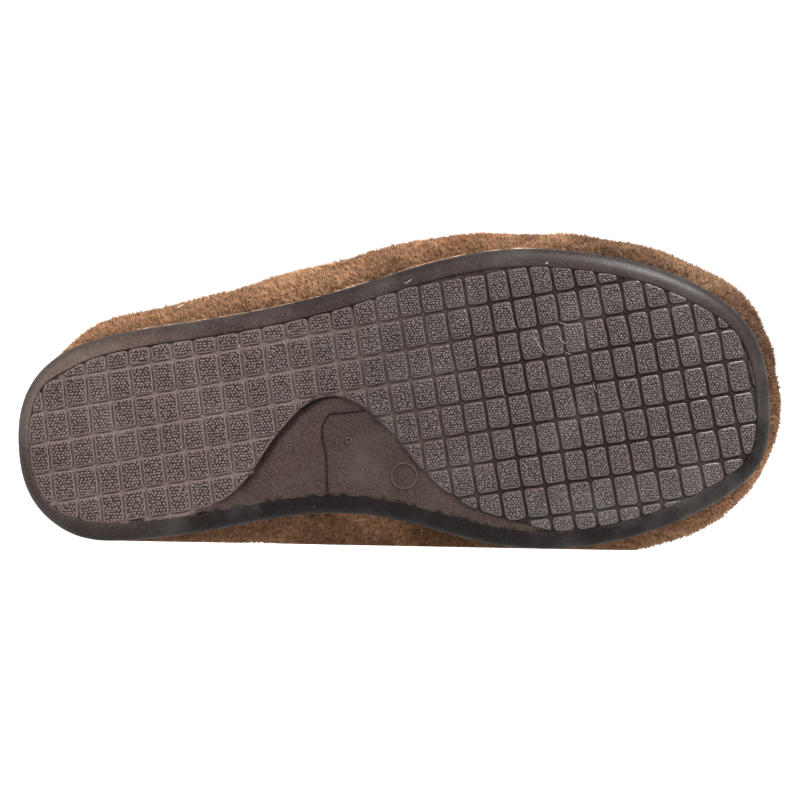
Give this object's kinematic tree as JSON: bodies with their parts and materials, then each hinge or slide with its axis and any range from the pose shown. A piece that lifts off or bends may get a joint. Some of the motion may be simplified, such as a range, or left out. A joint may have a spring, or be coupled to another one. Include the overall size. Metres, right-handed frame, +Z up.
{
  "type": "house slipper",
  "caption": "Closed-back plush slip-on house slipper for the right foot, on a dark moulded rubber sole with a block tread, lying on its medial side.",
  "frame": {"origin": "bottom centre of the box round the slipper as it lies on its medial side", "axes": "+X from heel to toe along the ground, +Z up (the lateral side is on top), tread facing -Y, collar opening facing +Y"},
  "size_m": [0.2848, 0.0904, 0.1181],
  "materials": {
    "rubber": "matte",
    "plush": "matte",
    "fleece": "matte"
  },
  "bodies": {
    "root": {"outsole": "rubber", "upper": "plush", "insole": "fleece"}
  },
  "joints": []
}
